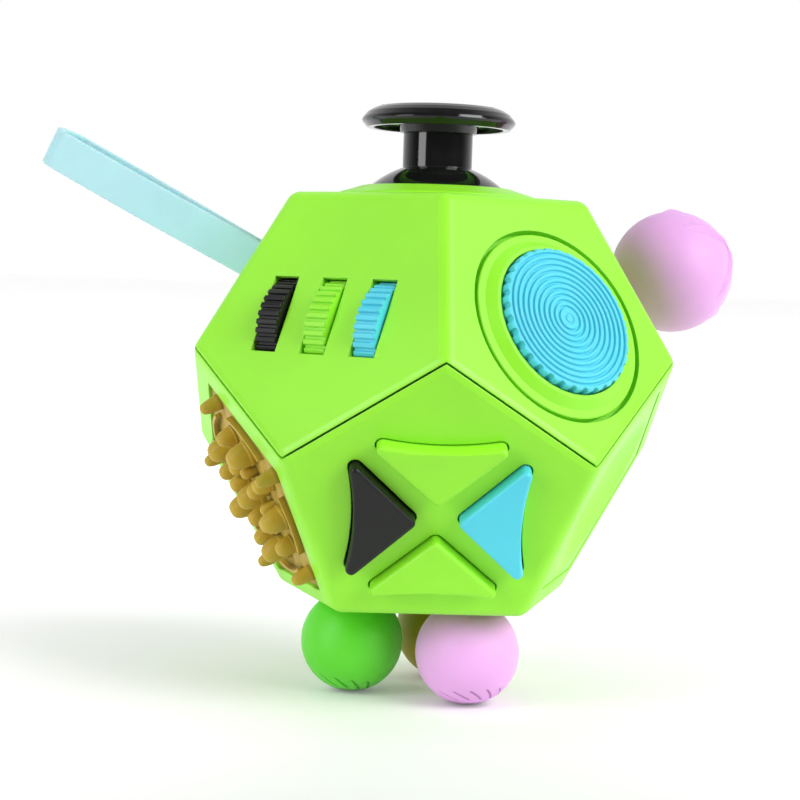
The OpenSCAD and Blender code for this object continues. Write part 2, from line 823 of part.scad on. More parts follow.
number_r = 5.5;
number_w = 3.4;
number_pitch = 4.8;
number_z = -4.4;
number_axle_r = 1.2;
number_low = -number_pitch - number_w / 2 - 0.4;
number_high = -number_low;

// A wheel with ten flats, a dimple on each, and a small valley between them.
module number_wheel(i) {
    profile = [for (k = [0:9], p = [[0, -14], [0, 14], [-0.45, 18]])
        (number_r + p[0]) * [cos(36 * k + p[1]), sin(36 * k + p[1])]];
    color([0.93, 0.93, 0.91]) on_upper(3) translate([i * number_pitch, 0, number_z])
        rotate([90, 0, 90]) difference() {
            translate([0, 0, -number_w / 2]) linear_extrude(number_w) difference() {
                polygon(profile);
                circle(number_axle_r + 0.05);
            }
            for (k = [0:9]) rotate([0, 0, 36 * k]) rotate([0, 90, 0]) rod(0.55, number_r - 0.45, number_r);
        }
}

module number_axle() {
    color(steel) on_upper(3) translate([number_low - 1, 0, number_z]) rotate([0, 90, 0])
        cylinder(r = number_axle_r, h = number_high - number_low + 2);
}

module number_cradle() {
    color([0.9, 0.9, 0.88]) on_upper(3)
        axle_cradle(number_low, number_high, 2.6, 0, number_z, number_axle_r,
            number_z - number_r - 0.4, 0);
}

module number_cradle_screws() {
    color(steel) on_upper(3) cradle_screws(number_low, number_high, 0);
}

// ---------------------------------------------------------------- strap, upper face 4

strap_y = 4.2;
strap_pin_z = -3.8;
strap_pin_r = 1;
anchor_low = -strap_w / 2 - 0.3;
anchor_high = -anchor_low;

// Half the gap between the strap's two legs at height z: round the pin, pinched where
// it leaves the face, and wide at the far end.
strap_base_gap = 0.35;
strap_wide_gap = 1.9;
function ease(t) = let (u = min(1, max(0, t))) u * u * (3 - 2 * u);
function strap_gap(z) = strap_base_gap
    + (strap_wide_gap - strap_base_gap) * ease((z - 2) / 22)
    + (strap_pin_r + 0.05 - strap_base_gap) * ease(-z / -strap_pin_z);

// Outline of the loop, g outside its inner face.
function strap_outline(g) =
    let (end_z = strap_l - strap_t - strap_wide_gap, steps = 24,
         zs = [for (i = [0:steps]) strap_pin_z + (end_z - strap_pin_z) * i / steps])
    concat(
        [for (z = zs) [strap_gap(z) + g, z]],
        [for (a = [15:15:165]) [0, end_z] + (strap_wide_gap + g) * [cos(a), sin(a)]],
        [for (i = [steps:-1:0]) [-strap_gap(zs[i]) - g, zs[i]]],
        [for (a = [195:15:345]) [0, strap_pin_z] + (strap_pin_r + 0.05 + g) * [cos(a), sin(a)]]);

module pull_strap() {
    color(mint) on_upper(4) translate([0, strap_y, 0]) rotate([90, 0, 0])
        translate([0, 0, -strap_w / 2]) linear_extrude(strap_w) difference() {
            polygon(strap_outline(strap_t));
            polygon(strap_outline(0));
        }
}

module strap_pin() {
    color(steel) on_upper(4) translate([0, strap_y + anchor_high + 1, strap_pin_z]) rotate([90, 0, 0])
        cylinder(r = strap_pin_r, h = 2 * anchor_high + 2);
}

module strap_anchor() {
    color([0.9, 0.9, 0.88]) on_upper(4) translate([0, strap_y, 0]) rotate([0, 0, 90])
        axle_cradle(anchor_low, anchor_high, 2.4, 0, strap_pin_z, strap_pin_r, strap_pin_z - 2.6, 0);
}

module strap_anchor_screws() {
    color(steel) on_upper(4) translate([0, strap_y, 0]) rotate([0, 0, 90])
        cradle_screws(anchor_low, anchor_high, 0);
}

// ---------------------------------------------------------------- slider, lower face 2

slider_slot = 12;
slider_stem = 5;

module slider_knob() {
    color(aqua) on_lower(2) difference() {
        union() {
            soft_block(8, 6.6, 1.2, 0.1, 2);
            for (x = [-2.4:1.2:2.4]) translate([x, 0, 0]) soft_block(0.6, 5, 0.25, 1.9, 2.4);
            soft_block(slider_stem, 4.2, 2, -wall - 0.1, 0.2);
        }
        rod(0.7, -5, 0.6);
    }
}

module slider_shoe() {
    color([0.9, 0.9, 0.88]) on_lower(2) difference() {
        soft_block(19.2, 5.6, 1, -wall - 1.1, -wall - 0.1);
        rod(0.75, -5, 0);
    }
}

module slider_shoe_screw() {
    color(steel) on_lower(2) translate([0, 0, -wall - 1.1]) mirror([0, 0, 1])
        screw(1.6, 0.8, 0.7, 3.4);
}

// ---------------------------------------------------------------- rocker, lower face 3

rocker_swing = 10;
rocker_pin_z = -1.4;

module rocker_bezel() {
    color(coal) on_lower(3) difference() {
        union() {
            soft_block(12.4, 7.5, 0.95, -5.6, eps);
            soft_block(13.9, 9, 1.4, 0, 0.6);
        }
        block(11, 5.6, -5, 2);
        translate([0, far / 2, rocker_pin_z]) rotate([90, 0, 0]) cylinder(r = 0.7, h = far);
    }
}

// The rocker's cap: a bow-tie top over a round belly, lying at its "on" side.
module rocker_cap() {
    color([0.92, 0.92, 0.92]) on_lower(3) translate([0, 0, rocker_pin_z]) rotate([0, -rocker_swing, 0])
        rotate([90, 0, 0]) translate([0, 0, -2.6]) linear_extrude(5.2) difference() {
            polygon([[-4.9, 3.5], [0, 2.4], [4.9, 3.5], [4.9, 1], [1.7, -1], [0.9, -1.7],
                     [-0.9, -1.7], [-1.7, -1], [-4.9, 1]]);
            circle(0.75);
        }
}

module rocker_pin() {
    color(steel) on_lower(3) translate([0, 3.7, rocker_pin_z]) rotate([90, 0, 0])
        cylinder(r = 0.7, h = 7.4);
}

// ---------------------------------------------------------------- spinner, bottom face

spinner_seat_r = 13.1;
spinner_recess = 2.2;
spinner_floor_z = 3.8;
// Angles of the balls round Z as they stand at rest.
ball_az = [186.5, 306.5, 66.5];
ball_neck_r = 1.6;

module at_ball(i) {
    rotate([0, 0, -ball_az[i]]) translate([ball_orbit, 0, 0]) children();
}

module spinner_plate() {
    color(lime) on_base() difference() {
        rod(12.8, -2, -0.3);
        rod(1.55, -3, 1);
        rod(3.1, -1.2, 1);
        for (i = [0:2]) at_ball(i) rod(ball_neck_r, -3, 1);
    }
}

module spinner_washer() {
    color(steel) on_base() ring(3, 1.55, -spinner_recess, -2.03);
}

module spinner_shoulder_screw() {
    color(steel) on_base() {
        translate([0, 0, -1.15]) screw(2.9, 0.75, 1.5, 1.05);
        rod(1.15, -8, -2.19);
    }
}

module spinner_ball(i) {
    on_base() at_ball(i) {
        translate([0, 0, ball_h]) difference() {
            sphere(r = ball_r);
            rod(ball_r, -ball_r - 1, -ball_h - 0.3);
        }
        rod(ball_neck_r, -2, 0.2);
    }
}

// ---------------------------------------------------------------- nodes

upper_shell();
lower_shell();
shell_screws();
joystick_bezel();
joystick_base();
joystick_base_screws();
joystick_gimbal_ring();
joystick_trunnions();
joystick_cross_pin();
joystick_stick();
joystick_cap();
joystick_inlay();
joystick_spring();
color(coal) roller(-1);  // roller_black
color(lime) roller(0);  // roller_green
color(aqua) roller(1);  // roller_cyan
roller_axle();
roller_cradle();
roller_cradle_screws();
dial_bezel();
dial_disc();
dial_washer();
dial_screw();
color(lime) key_at(0);  // key_up
color(lime) key_at(180);  // key_down
color(coal) key_at(90);  // key_left
color(aqua) key_at(270);  // key_right
key_membrane();
key_backplate();
key_screws();
massage_pad();
massage_pad_retainer();
worry_panel();
punch_ball();
punch_ball_neck();
punch_ball_collar();
punch_ball_retainer();
number_wheel(-1);  // number_wheel_left
number_wheel(0);  // number_wheel_middle
number_wheel(1);  // number_wheel_right
number_axle();
number_cradle();
number_cradle_screws();
pull_strap();
strap_pin();
strap_anchor();
strap_anchor_screws();
slider_knob();
slider_shoe();
slider_shoe_screw();
rocker_bezel();
rocker_cap();
rocker_pin();
spinner_plate();
spinner_washer();
spinner_shoulder_screw();
color(leaf) spinner_ball(0);  // spinner_ball_green
color(pink) spinner_ball(1);  // spinner_ball_pink
color(amber) spinner_ball(2);  // spinner_ball_yellow
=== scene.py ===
"""Looks of the twelve-sided fidget toy: lights, camera, materials and the soft pieces.

The hard pieces are the CAD nodes themselves. The soft ones (pad, strap and balls) are
rebuilt here with moulded detail, in place of their plain CAD solids, and the keys and
the thumb panel get small round edges.
"""

import json
import math

import bpy
import numpy as np
from mathutils import Matrix, Quaternion, Vector


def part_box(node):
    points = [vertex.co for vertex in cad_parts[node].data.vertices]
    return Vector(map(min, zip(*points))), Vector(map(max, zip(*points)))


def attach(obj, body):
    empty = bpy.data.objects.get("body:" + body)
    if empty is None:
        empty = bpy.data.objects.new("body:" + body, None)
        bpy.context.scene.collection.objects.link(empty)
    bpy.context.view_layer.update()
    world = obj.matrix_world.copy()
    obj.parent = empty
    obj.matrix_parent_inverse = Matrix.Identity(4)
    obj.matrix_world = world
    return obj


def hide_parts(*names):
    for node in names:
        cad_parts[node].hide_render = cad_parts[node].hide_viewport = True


MM = 0.001

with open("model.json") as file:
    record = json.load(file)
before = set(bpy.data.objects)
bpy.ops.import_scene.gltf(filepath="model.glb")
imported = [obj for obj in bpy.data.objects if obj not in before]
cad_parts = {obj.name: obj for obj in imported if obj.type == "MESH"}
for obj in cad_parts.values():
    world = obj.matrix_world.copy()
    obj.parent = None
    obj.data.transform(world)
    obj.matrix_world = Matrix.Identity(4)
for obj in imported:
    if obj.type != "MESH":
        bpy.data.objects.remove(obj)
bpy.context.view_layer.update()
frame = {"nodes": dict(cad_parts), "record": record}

# ---------------------------------------------------------------- places on the body

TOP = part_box("upper_shell")[1].z
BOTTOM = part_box("lower_shell")[0].z
CENTRE = Vector((0, 0, (TOP + BOTTOM) / 2))
INNER_R = (TOP - BOTTOM) / 2
FACE_TILT = math.acos(1 / math.sqrt(5))


def face_matrix(turn, tip):
    """Place of a face: local +Z out of it, +Y towards the joystick, z = 0 on its surface."""
    spin = Matrix.Rotation(math.radians(turn), 4, "Z") @ Matrix.Rotation(tip, 4, "X")
    return Matrix.Translation(CENTRE) @ spin @ Matrix.Translation((0, 0, INNER_R))


def upper_face(k):
    return face_matrix(72 * k - 36, FACE_TILT)


def lower_face(k):
    return face_matrix(72 * k, math.pi - FACE_TILT)


# ---------------------------------------------------------------- camera and light

CAMERA_PLACE_MM = (-13.73, -237.36, 52.94)
CAMERA_ANGLES = (-2.42, 3.88, 1.87)
LENS_MM = 85.1
SENSOR_MM = 36
KEY_WATTS = 20.5
FILL_WATTS = 11.0


def add_camera():
    """The photograph's own view: a little above the desk, in front of the arrow keys."""
    data = bpy.data.cameras.new("camera")
    data.sensor_width = SENSOR_MM
    data.lens = LENS_MM
    data.clip_start, data.clip_end = 0.01, 20
    camera = bpy.data.objects.new("camera", data)
    bpy.context.collection.objects.link(camera)
    azimuth, elevation, roll = map(math.radians, CAMERA_ANGLES)
    back = Vector((math.sin(azimuth) * math.cos(elevation),
                   -math.cos(azimuth) * math.cos(elevation), math.sin(elevation)))
    camera.location = Vector(CAMERA_PLACE_MM) * MM
    camera.rotation_mode = "QUATERNION"
    camera.rotation_quaternion = (-back).to_track_quat("-Z", "Y") @ Quaternion((0, 0, 1), roll)
    bpy.context.scene.camera = camera


def add_area_light(name, place, size, watts):
    """A white soft box, size in metres, turned to the middle of the body."""
    data = bpy.data.lights.new(name, "AREA")
    data.shape = "RECTANGLE"
    data.size, data.size_y = size
    data.energy = watts
    lamp = bpy.data.objects.new(name, data)
    bpy.context.collection.objects.link(lamp)
    lamp.location = place
    lamp.rotation_mode = "QUATERNION"
    lamp.rotation_quaternion = (CENTRE - Vector(place)).to_track_quat("-Z", "Y")


def add_world(front, behind):
    """Surroundings that are white behind the toy and darker on the camera's side.

    front and behind are the strengths there; From Min and From Max are where the change
    begins and ends, as the Y of a direction: -1 towards the camera and 1 away from it."""
    world = bpy.data.worlds.new("studio")
    world.use_nodes = True
    tree = world.node_tree
    place = tree.nodes.new("ShaderNodeTexCoord")
    split = tree.nodes.new("ShaderNodeSeparateXYZ")
    ramp = tree.nodes.new("ShaderNodeMapRange")
    ramp.interpolation_type = "SMOOTHSTEP"
    limits = {"From Min": -0.2, "From Max": 0.75, "To Min": front, "To Max": behind}
    for key, value in limits.items():
        ramp.inputs[key].default_value = value
    tree.links.new(place.outputs["Generated"], split.inputs["Vector"])
    tree.links.new(split.outputs["Y"], ramp.inputs["Value"])
    tree.links.new(ramp.outputs["Result"], tree.nodes["Background"].inputs["Strength"])
    tree.nodes["Background"].inputs["Color"].default_value = (1, 1, 1, 1)
    bpy.context.scene.world = world


def add_lights():
    add_area_light("key_right", (0.95, -0.66, 0.72), (0.8, 1.0), KEY_WATTS)
    add_area_light("fill_left", (-1.0, -0.66, 0.48), (0.6, 1.0), FILL_WATTS)
    add_world(front=0.10, behind=1.0)
    bpy.context.scene.view_settings.view_transform = "Standard"


# ---------------------------------------------------------------- materials

# Rays that a bevel node, or the occlusion node that paints shade into hollows, sends out at each point
NODE_SAMPLES = 6


class Look:
    """A Principled material with short helpers for the layers that the looks share.

    Patterns are placed by object coordinates, in metres, so they stay on the piece."""

    def __init__(self, name):
        self.material = bpy.data.materials.new(name)
        self.material.use_nodes = True
        self.tree = self.material.node_tree
        self.shader = self.tree.nodes["Principled BSDF"]
        self.place = self.add("ShaderNodeTexCoord").outputs["Object"]
        self.normal = None

    def add(self, kind, **values):
        node = self.tree.nodes.new(kind)
        for key, value in values.items():
            setattr(node, key, value)
        return node

    def link(self, source, target):
        self.tree.links.new(source, target)

    def noise(self, per_mm, detail=3.0, roughness=0.55, stretch=None):
        """A noise value round 0.5; per_mm is how many blobs fit in a millimetre."""
        node = self.add("ShaderNodeTexNoise")
        node.inputs["Scale"].default_value = per_mm / MM
        node.inputs["Detail"].default_value = detail
        node.inputs["Roughness"].default_value = roughness
        source = self.place
        if stretch:
            mapping = self.add("ShaderNodeMapping")
            mapping.inputs["Scale"].default_value = stretch
            self.link(self.place, mapping.inputs["Vector"])
            source = mapping.outputs["Vector"]
        self.link(source, node.inputs["Vector"])
        return node.outputs["Fac"]

    def remap(self, value, low, high, to_low, to_high):
        """Stretches low..high of a value to to_low..to_high, and holds it at the ends."""
        node = self.add("ShaderNodeMapRange", clamp=True)
        node.inputs["From Min"].default_value = low
        node.inputs["From Max"].default_value = high
        node.inputs["To Min"].default_value = to_low
        node.inputs["To Max"].default_value = to_high
        self.link(value, node.inputs["Value"])
        return node.outputs["Result"]

    def spread(self, noise, to_low=0.0, to_high=1.0):
        """A noise value, nearly all of it between 0.3 and 0.7, stretched to a wider range."""
        return self.remap(noise, 0.3, 0.7, to_low, to_high)

    def math(self, operation, a, b):
        node = self.add("ShaderNodeMath", operation=operation)
        for socket, value in zip(node.inputs, (a, b)):
            if isinstance(value, (int, float)):
                socket.default_value = value
            else:
                self.link(value, socket)
        return node.outputs["Value"]

    def mix(self, factor, a, b):
        """Colour a where factor is 0 and b where it is 1.

        The node has a set of sockets for each kind of data: 6 and 7 take the colours and
        2 gives one."""
        node = self.add("ShaderNodeMix", data_type="RGBA")
        self.link(factor, node.inputs["Factor"])
        for socket, value in zip((node.inputs[6], node.inputs[7]), (a, b)):
            if isinstance(value, tuple):
                socket.default_value = (*value, 1)
            else:
                self.link(value, socket)
        return node.outputs[2]

    def edges(self, radius_mm):
        """Softens the shading of sharp edges, and gives a mask that is 1 on them.

        The mask comes from how far the softened normal leans away from the real one."""
        bevel = self.add("ShaderNodeBevel", samples=NODE_SAMPLES)
        bevel.inputs["Radius"].default_value = radius_mm * MM
        self.normal = bevel.outputs["Normal"]
        flat = self.add("ShaderNodeNewGeometry")
        dot = self.add("ShaderNodeVectorMath", operation="DOT_PRODUCT")
        self.link(bevel.outputs["Normal"], dot.inputs[0])
        self.link(flat.outputs["Normal"], dot.inputs[1])
        return self.remap(dot.outputs["Value"], 0.97, 0.80, 0.0, 1.0)

    def bump(self, height, depth_mm, strength=1.0):
        node = self.add("ShaderNodeBump")
        node.inputs["Distance"].default_value = depth_mm * MM
        node.inputs["Strength"].default_value = strength
        self.link(height, node.inputs["Height"])
        if self.normal is not None:
            self.link(self.normal, node.inputs["Normal"])
        self.normal = node.outputs["Normal"]

    def finish(self, colour, roughness, **sockets):
        """Connects the layers; sockets are fixed values, named with _ in place of a space."""
        self.link(colour, self.shader.inputs["Base Color"])
        self.link(roughness, self.shader.inputs["Roughness"])
        if self.normal is not None:
            self.link(self.normal, self.shader.inputs["Normal"])
        for key, value in sockets.items():
            self.shader.inputs[key.replace("_", " ")].default_value = value
        return self.material


WHITE = (1, 1, 1)
DUST = (0.6, 0.6, 0.6)


def shade(colour, factor):
    """The colour made darker, or lighter where factor is above 1."""
    return tuple(min(1.0, c * factor) for c in colour)


def blend_to(colour, other, share):
    """The colour moved towards the other one by share, from 0 to 1."""
    return tuple(a + (b - a) * share for a, b in zip(colour, other))


def moulded_plastic(name, colour, roughness, wear=0.35, shine=0.5):
    """Satin ABS: spark-eroded grain, faint flow marks, and edges rubbed paler."""
    look = Look(name)
    edge = look.edges(0.18)
    flow = look.spread(look.noise(0.05, detail=4))
    base = look.mix(flow, shade(colour, 0.94), shade(colour, 1.04))
    patches = look.remap(look.noise(0.35, detail=5), 0.42, 0.62, 0, wear)
    rub = look.math("MULTIPLY", edge, patches)
    base = look.mix(rub, base, blend_to(colour, WHITE, 0.30))
    matt = look.spread(look.noise(0.12, detail=4), roughness - 0.05, roughness + 0.07)
    matt = look.math("SUBTRACT", matt, look.math("MULTIPLY", edge, 0.08))
    look.bump(look.noise(5.5, detail=2, roughness=0.6), depth_mm=0.012)
    return look.finish(base, matt, Specular_IOR_Level=shine)


def glossy_plastic(name, colour):
    """Polished ABS: a clear surface with hairline scratches and a thin film of dust."""
    look = Look(name)
    edge = look.edges(0.2)
    dust = look.remap(look.noise(0.3, detail=6, roughness=0.7), 0.45, 0.75, 0, 0.5)
    lines = look.noise(0.5, detail=6, roughness=0.75, stretch=(1, 9, 3))
    scratch = look.remap(lines, 0.62, 0.68, 0, 1)
    base = look.mix(dust, colour, blend_to(colour, DUST, 0.015))
    base = look.mix(edge, base, blend_to(colour, DUST, 0.05))
    matt = look.remap(look.math("MAXIMUM", scratch, dust), 0, 1, 0.08, 0.20)
    look.bump(look.noise(0.25, detail=2), depth_mm=0.012, strength=0.6)
    return look.finish(base, matt, Specular_IOR_Level=0.42, Coat_Weight=0.1, Coat_Roughness=0.05)


def silicone(name, colour, glow, painted_shade_tone, warm=None):
    """Soft silicone rubber: matte and finely pitted, with light scattered inside it, shade
    painted into its hollows and a painted highlight along its edges.

    glow is how much light scatters, painted_shade_tone is how bright the shade painted into
    its hollows is, and warm is the colour of its patches."""
    look = Look(name)
    # Painted shade: an occlusion node darkens the colour where the surface lies in hollows and creases
    painted_shade_ao = look.add("ShaderNodeAmbientOcclusion", samples=NODE_SAMPLES)
    painted_shade_ao.inputs["Distance"].default_value = 0.9 * MM
    depth = look.remap(painted_shade_ao.outputs["AO"], 0.35, 0.95, 1, 0)
    cloud = look.spread(look.noise(0.09, detail=4))
    base = look.mix(cloud, shade(colour, 0.95), warm or shade(colour, 1.04))
    base = look.mix(depth, base, shade(colour, painted_shade_tone))
    # Painted highlight: every edge is made paler, towards white, as if light caught it
    edge = look.math("MULTIPLY", look.edges(0.08), 0.5)
    base = look.mix(edge, base, blend_to(colour, WHITE, 0.25))
    matt = look.spread(look.noise(0.6, detail=4), 0.42, 0.60)
    look.bump(look.noise(4.2, detail=3, roughness=0.6), depth_mm=0.012)
    return look.finish(base, matt, Subsurface_Weight=glow, Subsurface_Scale=1.2 * MM,
                       Sheen_Weight=0.08, Sheen_Roughness=0.4, Specular_IOR_Level=0.4)


def steel(name, colour):
    """Plated steel: drawn streaks, and edges rubbed brighter."""
    look = Look(name)
    edge = look.edges(0.08)
    streak = look.noise(0.8, detail=5, stretch=(6, 6, 0.6))
    base = look.mix(look.spread(streak), shade(colour, 0.82), shade(colour, 1.08))
    base = look.mix(edge, base, shade(colour, 1.2))
    look.bump(look.noise(2.5, detail=3, stretch=(4, 4, 0.5)), depth_mm=0.006)
    return look.finish(base, look.spread(streak, 0.22, 0.42), Metallic=1.0)


LIME = (0.29, 0.80, 0.025)
CYAN = (0.075, 0.62, 0.78)
AMBER = (0.42, 0.32, 0.02)
ORANGE = (0.52, 0.34, 0.02)
PINK = (0.74, 0.38, 0.76)
LEAF = (0.11, 0.64, 0.025)
MINT = (0.42, 0.72, 0.77)
MILK = (0.72, 0.72, 0.70)
IVORY = (0.78, 0.78, 0.75)
SLATE = (0.05, 0.05, 0.055)
COAL = (0.006, 0.006, 0.0065)
STEEL = (0.60, 0.60, 0.62)


def make_materials():
    """A material for every slot of the record, by the slot's name."""
    return {
        "lime_plastic": moulded_plastic("lime_plastic", LIME, roughness=0.40),
        "black_gloss": glossy_plastic("black_gloss", COAL),
        "black_satin": moulded_plastic("black_satin", COAL, roughness=0.36, wear=0.05, shine=0.35),
        "cyan_plastic": moulded_plastic("cyan_plastic", CYAN, roughness=0.36),
        # For the silicones, the number after glow is how bright the shade painted into their hollows
        # is
        "yellow_silicone": silicone("yellow_silicone", AMBER, glow=0.08, painted_shade_tone=0.38,
                                    warm=ORANGE),
        "pink_silicone": silicone("pink_silicone", PINK, glow=0.20, painted_shade_tone=0.35),
        "green_silicone": silicone("green_silicone", LEAF, glow=0.15, painted_shade_tone=0.4),
        "mint_silicone": silicone("mint_silicone", MINT, glow=0.25, painted_shade_tone=0.7),
        "milky_silicone": silicone("milky_silicone", MILK, glow=0.4, painted_shade_tone=0.7),
        "white_plastic": moulded_plastic("white_plastic", IVORY, roughness=0.36, wear=0.15),
        "dark_plastic": moulded_plastic("dark_plastic", SLATE, roughness=0.45, wear=0.15),
        "steel": steel("steel", STEEL),
    }


def paint_nodes(materials):
    """Gives every CAD node the material of its slot."""
    for part in frame["record"]["subparts"]:
        mesh = frame["nodes"][part["node"]].data
        mesh.materials.clear()
        mesh.materials.append(materials[part["material_slot"]])


def smooth_by_angle(obj, degrees):
    """Shades faces that meet at less than this angle as one smooth surface."""
    group = bpy.data.node_groups.get("smooth_by_angle")
    if group is None:
        group = bpy.data.node_groups.new("smooth_by_angle", "GeometryNodeTree")
        group.interface.new_socket("Geometry", in_out="INPUT", socket_type="NodeSocketGeometry")
        group.interface.new_socket("Geometry", in_out="OUTPUT", socket_type="NodeSocketGeometry")
        start = group.nodes.new("NodeGroupInput")
        end = group.nodes.new("NodeGroupOutput")
        angle = group.nodes.new("GeometryNodeInputMeshEdgeAngle")
        sharp = group.nodes.new("FunctionNodeCompare")
        sharp.operation = "LESS_EQUAL"
        sharp.inputs["B"].default_value = math.radians(degrees)
        faces = group.nodes.new("GeometryNodeSetShadeSmooth")
        faces.domain = "FACE"
        edges = group.nodes.new("GeometryNodeSetShadeSmooth")
        edges.domain = "EDGE"
        links = group.links
        links.new(start.outputs["Geometry"], faces.inputs["Geometry"])
        links.new(faces.outputs["Geometry"], edges.inputs["Geometry"])
        links.new(angle.outputs["Unsigned Angle"], sharp.inputs["A"])
        links.new(sharp.outputs["Result"], edges.inputs["Shade Smooth"])
        links.new(edges.outputs["Geometry"], end.inputs["Geometry"])
    obj.modifiers.new("smooth", "NODES").node_group = group


# ---------------------------------------------------------------- soft pieces

# Mesh of a ball: degrees between its rings, away from the relief and in it, and the
# number of points in a ring
COARSE_STEP = 2.0
FINE_STEP = 0.5
RING_POINTS = 300


def new_mesh_object(name, vertices, faces, material):
    mesh = bpy.data.meshes.new(name)
    mesh.from_pydata(vertices, [], faces)
    mesh.materials.append(material)
    mesh.shade_smooth()
    obj = bpy.data.objects.new(name, mesh)
    bpy.context.collection.objects.link(obj)
    return obj


def soft_copy(name, node, material, voxel_mm, smooth_steps):
    """A CAD node's shape as soft moulding: every edge of it becomes a small round one."""
    mesh = frame["nodes"][node].data.copy()
    mesh.materials.clear()
    mesh.materials.append(material)
    obj = bpy.data.objects.new(name, mesh)
    bpy.context.collection.objects.link(obj)
    remesh = obj.modifiers.new("remesh", "REMESH")
    remesh.mode = "VOXEL"
    remesh.voxel_size = voxel_mm * MM
    remesh.use_smooth_shade = True
    relax = obj.modifiers.new("relax", "SMOOTH")
    relax.factor = 0.5
    relax.iterations = smooth_steps
    settled = bpy.data.meshes.new_from_object(obj.evaluated_get(bpy.context.evaluated_depsgraph_get()))
    obj.modifiers.clear()
    obj.data = settled
    settled.shade_smooth()
    return obj


def moulded_ball(name, centre, radius, axis, across, relief, material, dense):
    """A ball whose surface is pushed in or out by relief(polar, around), in metres.

    axis is where polar is 0, and around is counted from across. dense is the range of
    polar angles, in degrees, where the mesh has to be fine enough for the relief."""
    axis = Vector(axis).normalized()
    across = (Vector(across) - axis * Vector(across).dot(axis)).normalized()
    third = axis.cross(across)
    low, high = dense
    polars = [*np.arange(COARSE_STEP, low, COARSE_STEP), *np.arange(low, high, FINE_STEP),
              *np.arange(high, 179.0, COARSE_STEP)]
    count = RING_POINTS
    vertices = [centre + axis * radius]
    for polar in polars:
        for i in range(count):
            turn = 360 * i / count
            p, t = math.radians(polar), math.radians(turn)
            out = axis * math.cos(p) + (across * math.cos(t) + third * math.sin(t)) * math.sin(p)
            vertices.append(centre + out * (radius + relief(polar, turn)))
    vertices.append(centre - axis * radius)
    faces = [(0, 1 + i, 1 + (i + 1) % count) for i in range(count)]
    for k in range(len(polars) - 1):
        a, b = 1 + k * count, 1 + (k + 1) * count
        faces += [(a + i, b + i, b + (i + 1) % count, a + (i + 1) % count) for i in range(count)]
    last = 1 + (len(polars) - 1) * count
    faces += [(last + i, len(vertices) - 1, last + (i + 1) % count) for i in range(count)]
    return new_mesh_object(name, vertices, faces, material)


def turn_between(a, b):
    """The smaller angle from a to b, in degrees."""
    return abs((a - b + 180) % 360 - 180)


def near(distance, width):
    """1 at no distance, and falling away smoothly within about a width."""
    return math.exp(-((distance / width) ** 2))


def grip_strokes(radius, strokes=14, low=29.0, high=48.0):
    """Relief of short slanted strokes in a ring round the ball's tip.

    low and high are the polar angles of their ends, which fade out over a few degrees."""
    middle, half, fade = (low + high) / 2, (high - low) / 2, 3
    depth, width, lean = 0.24 * MM, 0.16 * MM, 1.3

    def relief(polar, around):
        if abs(polar - middle) > half + fade:
            return 0.0
        slant = (polar - middle) * lean
        across = min(turn_between(around, 360 * i / strokes + slant) for i in range(strokes))
        gap = math.radians(across) * math.sin(math.radians(polar)) * radius
        end = min(1.0, max(0.0, (half + fade / 2 - abs(polar - middle)) / fade))
        return -depth * end * near(gap, width)

    return relief


def petal_ridges(radius, petals=3, start=173.0, low=34.0, high=77.0):
    """Relief of curved ridges that open from the ball's tip like petals.

    A petal is a pair of ridges, 3 degrees to each side of its middle at low and 41 at
    high, and shallow grooves run beside each ridge."""
    height, width = 0.32 * MM, 0.34 * MM
    groove_share, groove_away, groove_width = 0.35, 0.7 * MM, 0.3 * MM
    before, after = 4, 3

    def relief(polar, around):
        if not low - before < polar < high + after:
            return 0.0
        t = min(1.0, max(0.0, (polar - low) / (high - low)))
        opening = 3 + 38 * math.sqrt(t)
        gaps = [turn_between(around, start + 360 * i / petals + side * opening)
                for i in range(petals) for side in (-1, 1)]
        gap = math.radians(min(gaps)) * math.sin(math.radians(polar)) * radius
        end = min(1.0, (polar - low + before) / 6, (high + after - polar) / 12)
        ridge = near(gap, width) - groove_share * near(gap - groove_away, groove_width)
        return height * max(0.0, end) * ridge

    return relief


def add_balls(materials):
    """The three balls of the spinner, each with a ring of grip strokes at its tip."""
    for colour in ("green", "pink", "yellow"):
        node, slot = f"spinner_ball_{colour}", f"{colour}_silicone"
        low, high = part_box(node)
        radius = (high.x - low.x) / 2
        centre = Vector(((low.x + high.x) / 2, (low.y + high.y) / 2, low.z + radius))
        outward = Vector((centre.x, centre.y, 0)).normalized()
        tip = Vector((0, 0, -1)) + outward * 0.12
        ball = moulded_ball(f"soft_ball_{colour}", centre, radius, tip, outward,
                            grip_strokes(radius), materials[slot], dense=(27, 51))
        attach(ball, "spinner")
        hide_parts(node)


def add_punch_ball(materials):
    """The ball on its own face, with petals round its tip."""
    low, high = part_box("punch_ball")
    centre, radius = (low + high) / 2, (high.x - low.x) / 2
    face = upper_face(2).to_3x3()
    outward, sideways = face @ Vector((0, 0, 1)), face @ Vector((1, 0, 0))
    ball = moulded_ball("soft_punch_ball", centre, radius, outward, sideways,
                        petal_ridges(radius), materials["pink_silicone"], dense=(29, 81))
    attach(ball, "punch_ball")
    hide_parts("punch_ball")


